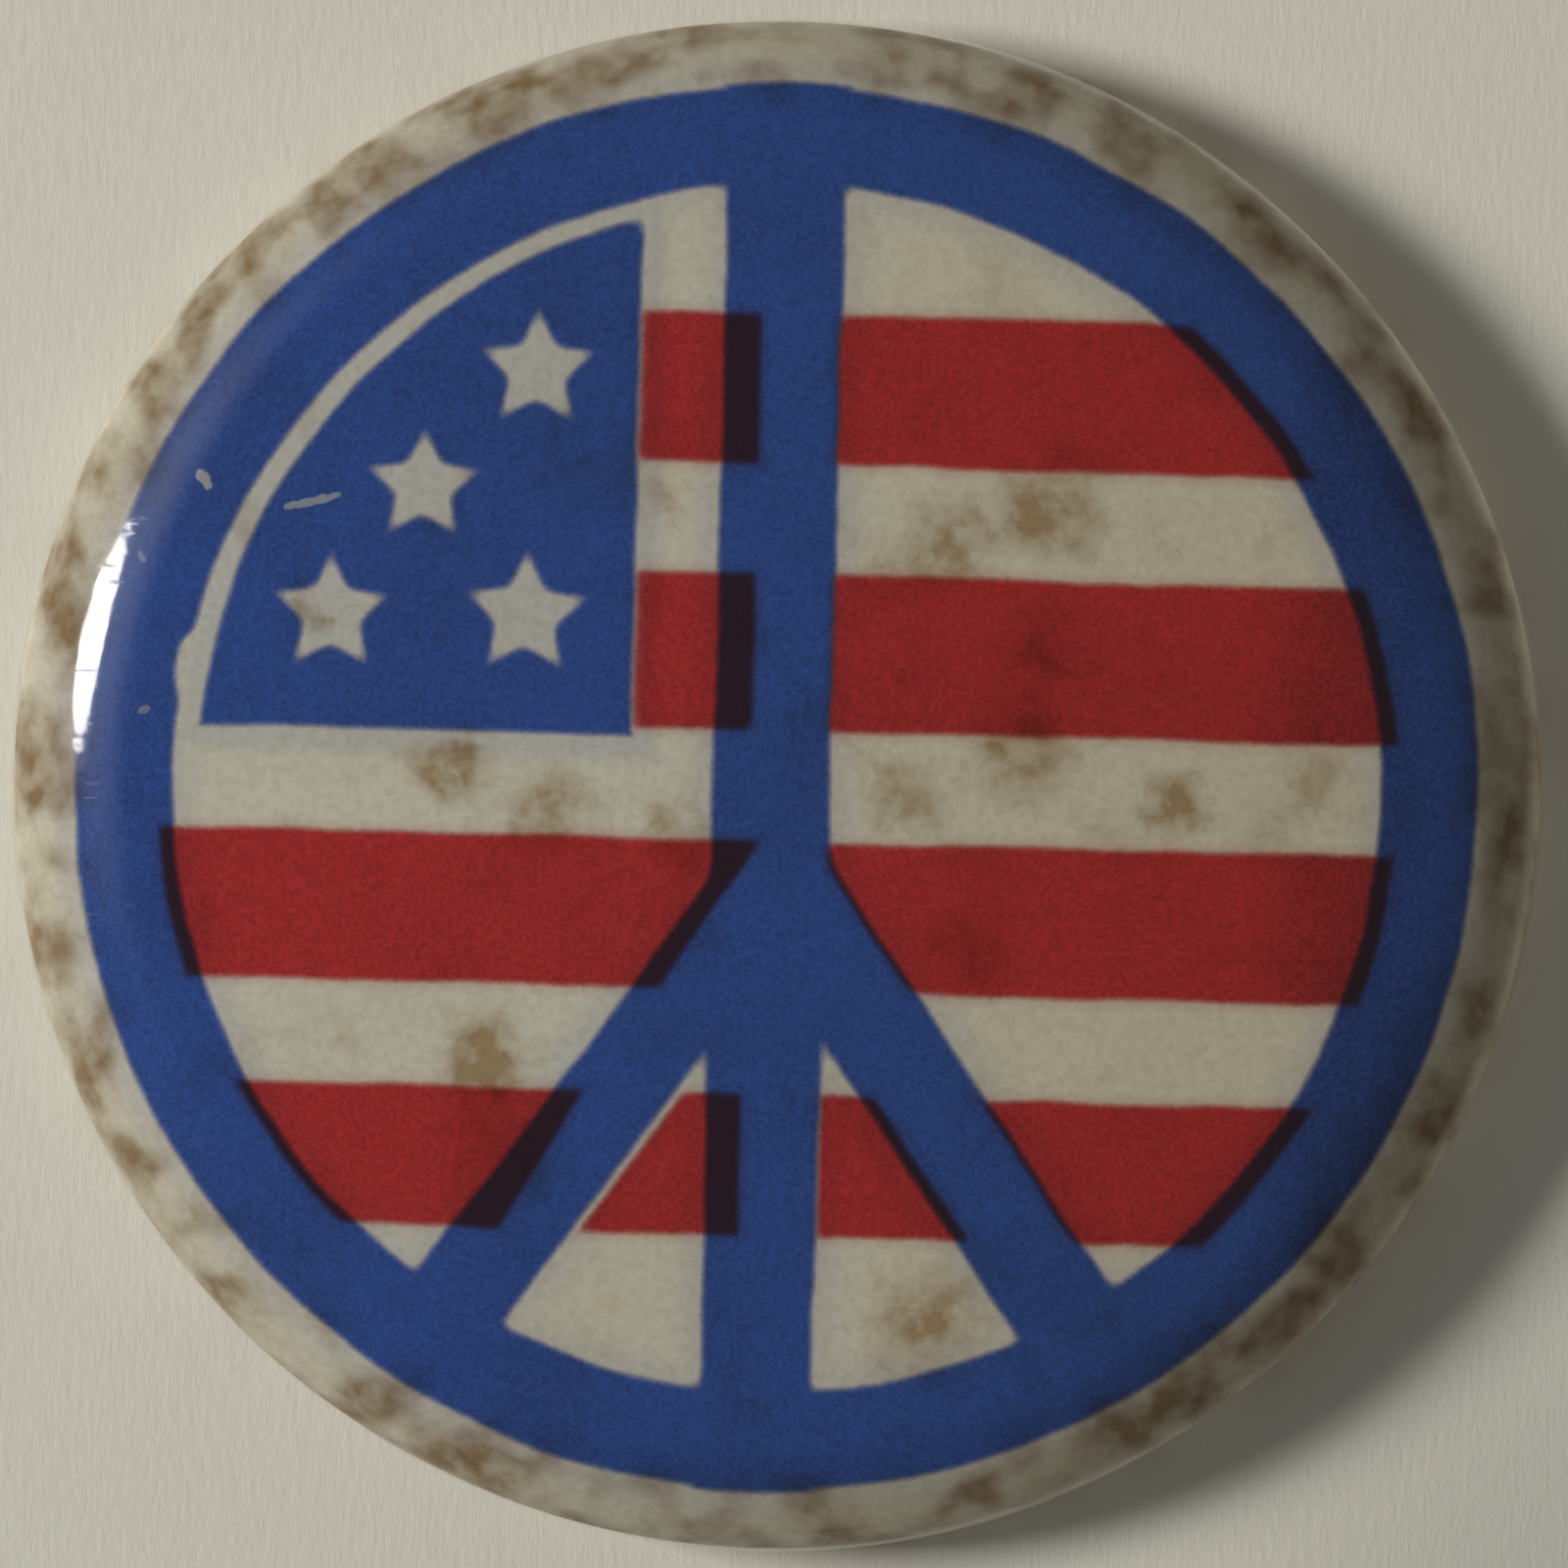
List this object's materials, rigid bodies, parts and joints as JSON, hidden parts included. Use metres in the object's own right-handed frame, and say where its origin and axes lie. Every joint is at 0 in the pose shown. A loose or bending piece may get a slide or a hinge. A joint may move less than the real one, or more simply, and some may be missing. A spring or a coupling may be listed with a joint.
{
  "type": "pinback button badge",
  "caption": "Round domed button badge with a printed peace-sign flag design under clear film, a crimped metal back ring and a spring-wire pin with a safety hook.",
  "frame": {"origin": "on the badge's axis, half way between the crown of the face and the flat back of the collet ring", "axes": "the badge stands upright as worn: -Y is the way its face looks, +Z is the top of the design, +X is the viewer's right"},
  "size_m": [0.0382, 0.0048, 0.0382],
  "materials": {
    "tinplate": "satin",
    "printed_paper": "matte",
    "clear_film": "gloss",
    "plated_steel": "satin",
    "spring_steel": "gloss"
  },
  "bodies": {
    "badge_body": {"front_shell": "tinplate", "printed_paper": "printed_paper", "clear_film": "clear_film", "collet_ring": "plated_steel"},
    "pin_ring": {"pin_wire_ring": "spring_steel"},
    "pin_arm": {"pin_needle": "spring_steel"}
  },
  "joints": [
    {"name": "pin_ring_turn", "type": "hinge", "parent": "badge_body", "child": "pin_ring", "pos_m": [0, 0, 0], "axis": [0, 1, 0], "continuous": true},
    {"name": "pin_open", "type": "hinge", "parent": "pin_ring", "child": "pin_arm", "pos_m": [-0.01406, 0.00068, 0.004], "axis": [0, -0.7071, 0.7071], "range_deg": [0, 35], "stiffness_Nm_per_rad": 0.004}
  ]
}
